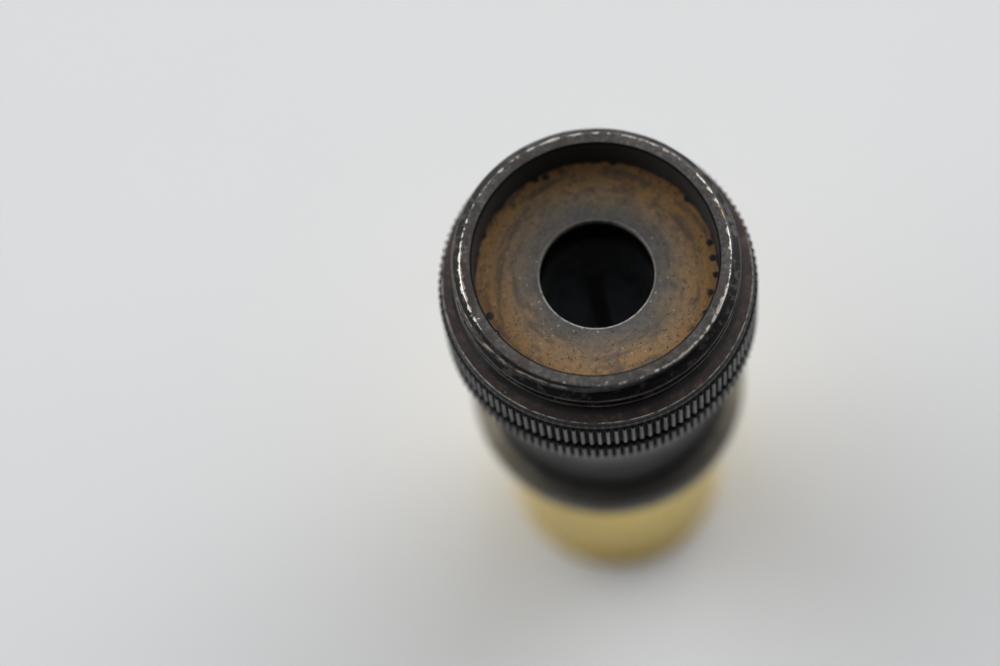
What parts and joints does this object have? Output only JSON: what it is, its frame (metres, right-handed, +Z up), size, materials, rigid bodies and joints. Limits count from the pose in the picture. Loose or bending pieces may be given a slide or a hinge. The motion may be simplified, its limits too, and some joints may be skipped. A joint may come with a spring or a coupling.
{
  "type": "direct-vision telescope spectroscope",
  "caption": "Upright cylindrical direct-vision spectroscope with a male thread, knurled slit ring, flanged black sleeve and a brass barrel that slides to focus.",
  "frame": {"origin": "centre of the face that the spectroscope stands on, at the eye end", "axes": "+Z up the optical axis, from the eye end to the threaded nose; +X is the way the slit opens"},
  "size_m": [0.0356, 0.0356, 0.0763],
  "materials": {
    "black_lacquer": "worn gloss black lacquer over brass",
    "brown_lacquer": "stained and speckled brown lacquer, bare at the hole",
    "lacquered_brass": "polished brass under clear lacquer",
    "plain_brass": "as turned",
    "blackened_brass": "matt optical black",
    "blued_steel": "ground and blued",
    "screw_steel": "turned",
    "crown_glass": "polished",
    "flint_glass": "polished",
    "cork": "sheet cork"
  },
  "bodies": {
    "barrel": {"brass_barrel": "lacquered_brass", "collimator_cell": "blackened_brass", "collimator_crown_lens": "crown_glass", "collimator_flint_lens": "flint_glass", "collimator_ring": "blackened_brass", "lens_spacer": "blackened_brass", "prism_stop": "blackened_brass", "prism_cradle": "plain_brass", "prism_clamp_plate": "plain_brass", "prism_clamp_screws": "screw_steel", "prism_cork_pads": "cork", "crown_prism_front": "crown_glass", "flint_prism_front": "flint_glass", "crown_prism_middle": "crown_glass", "flint_prism_rear": "flint_glass", "crown_prism_rear": "crown_glass", "eye_cap": "lacquered_brass", "eye_window": "crown_glass", "eye_window_ring": "plain_brass"},
    "head": {"threaded_nose": "black_lacquer", "diaphragm_disc": "brown_lacquer", "dust_glass": "crown_glass", "dust_glass_ring": "blackened_brass", "slit_base": "blackened_brass", "jaw_guides": "blackened_brass", "jaw_guide_screws": "screw_steel", "slit_base_ring": "blackened_brass", "black_sleeve": "black_lacquer", "sleeve_set_screws": "screw_steel", "focus_guide_screw": "screw_steel"},
    "slit_control": {"slit_ring": "black_lacquer", "cam_ring": "blackened_brass", "drive_screws": "screw_steel"},
    "jaw_left": {"jaw_left": "blued_steel", "jaw_pin_left": "screw_steel"},
    "jaw_right": {"jaw_right": "blued_steel", "jaw_pin_right": "screw_steel"}
  },
  "joints": [
    {"name": "focus_draw", "type": "slide", "parent": "barrel", "child": "head", "axis": [0, 0, 1], "range_m": [0, 0.008]},
    {"name": "slit_turn", "type": "hinge", "parent": "head", "child": "slit_control", "pos_m": [0, 0, 0.0614], "axis": [0, 0, 1], "range_deg": [0, 30]},
    {"name": "jaw_left_slide", "type": "slide", "parent": "head", "child": "jaw_left", "axis": [-1, 0, 0], "range_m": [0, 0.0008]},
    {"name": "jaw_right_slide", "type": "slide", "parent": "head", "child": "jaw_right", "axis": [1, 0, 0], "range_m": [0, 0.0008]}
  ],
  "couplings": [
    {"joint": "jaw_left_slide", "follows": "slit_turn", "m_per_rad": 0.0015},
    {"joint": "jaw_right_slide", "follows": "slit_turn", "m_per_rad": 0.0015}
  ]
}
